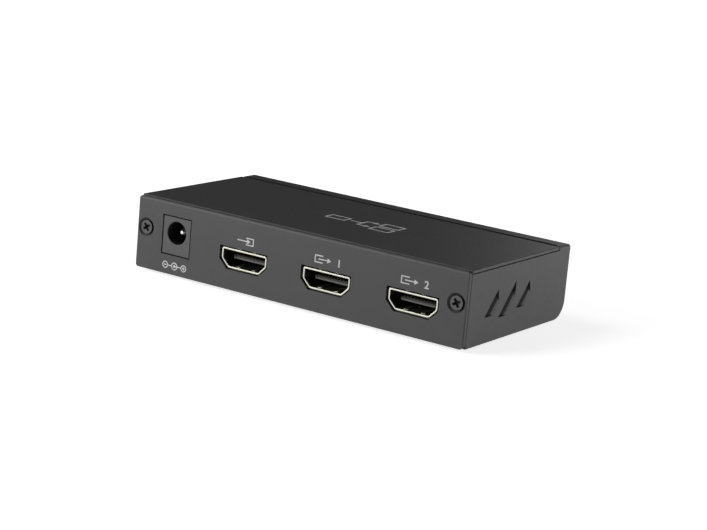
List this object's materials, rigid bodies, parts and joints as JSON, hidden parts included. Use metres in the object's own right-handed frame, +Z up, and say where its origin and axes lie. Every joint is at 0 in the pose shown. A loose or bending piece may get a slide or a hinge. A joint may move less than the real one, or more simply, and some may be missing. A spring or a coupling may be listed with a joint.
{
  "type": "hdmi splitter",
  "caption": "Small dark metal box that copies one video signal to more screens, with video sockets and a round power jack in a screwed front panel, louvred ends and a lift-off cover.",
  "frame": {"origin": "under the middle of the case, on the plane that the feet stand on", "axes": "+X along the case to the right as seen from the sockets, +Y from the sockets to the rear, +Z up"},
  "size_m": [0.107, 0.0524, 0.0215],
  "materials": {
    "case_paint": "dark grey powder coat, satin, fine grain",
    "screw_black": "blackened steel, satin",
    "foot_rubber": "matt black rubber",
    "board_laminate": "green solder mask, satin gloss",
    "plain_steel": "plated, plain",
    "socket_nickel": "nickel plate with a warm tint",
    "black_plastic": "moulded, fine matt",
    "contact_gold": "gold flash",
    "terminal_nickel": "nickel plate",
    "chip_black": "moulded resin, matt",
    "tinned_leads": "tin plate",
    "ferrite_grey": "pressed ferrite",
    "capacitor_can": "drawn can on a black base",
    "ceramic_tan": "fired ceramic with tinned ends",
    "resistor_black": "glazed film with tinned ends",
    "lamp_white": "moulded lamp body with a clear lens",
    "light_pipe_clear": "clear moulded plastic"
  },
  "bodies": {
    "case": {"case_tray": "case_paint", "front_panel": "case_paint", "panel_screws": "screw_black", "rubber_foot_1": "foot_rubber", "rubber_foot_2": "foot_rubber", "rubber_foot_3": "foot_rubber", "rubber_foot_4": "foot_rubber", "circuit_board": "board_laminate", "board_standoffs": "plain_steel", "board_screws": "plain_steel", "input_shell": "socket_nickel", "output_1_shell": "socket_nickel", "output_2_shell": "socket_nickel", "input_insulator": "black_plastic", "output_1_insulator": "black_plastic", "output_2_insulator": "black_plastic", "input_contacts": "contact_gold", "output_1_contacts": "contact_gold", "output_2_contacts": "contact_gold", "jack_body": "black_plastic", "jack_pin": "terminal_nickel", "jack_terminals": "terminal_nickel", "splitter_chip": "chip_black", "memory_chip": "chip_black", "regulator_1": "chip_black", "regulator_2": "chip_black", "chip_leads_group": "tinned_leads", "power_inductor": "ferrite_grey", "filter_capacitor_1": "capacitor_can", "filter_capacitor_2": "capacitor_can", "protection_diode": "chip_black", "clock_crystal": "plain_steel", "input_surge_array": "chip_black", "output_1_surge_array": "chip_black", "output_2_surge_array": "chip_black", "ceramic_capacitors": "ceramic_tan", "chip_resistors": "resistor_black", "lamp_1": "lamp_white", "lamp_2": "lamp_white", "lamp_3": "lamp_white", "lamp_4": "lamp_white", "light_pipe_1": "light_pipe_clear", "light_pipe_2": "light_pipe_clear", "light_pipe_3": "light_pipe_clear", "light_pipe_4": "light_pipe_clear"},
    "cover": {"top_cover": "case_paint"},
    "sleeve_contact": {"jack_sleeve_contact": "terminal_nickel"}
  },
  "joints": [
    {"name": "cover_lift", "type": "slide", "parent": "case", "child": "cover", "axis": [0, 0, 1], "range_m": [0, 0.04]},
    {"name": "sleeve_contact_flex", "type": "hinge", "parent": "case", "child": "sleeve_contact", "pos_m": [-0.0397, -0.01375, 0.00843], "axis": [1, 0, 0], "range_deg": [0, 4.5], "stiffness_Nm_per_rad": 0.05}
  ]
}
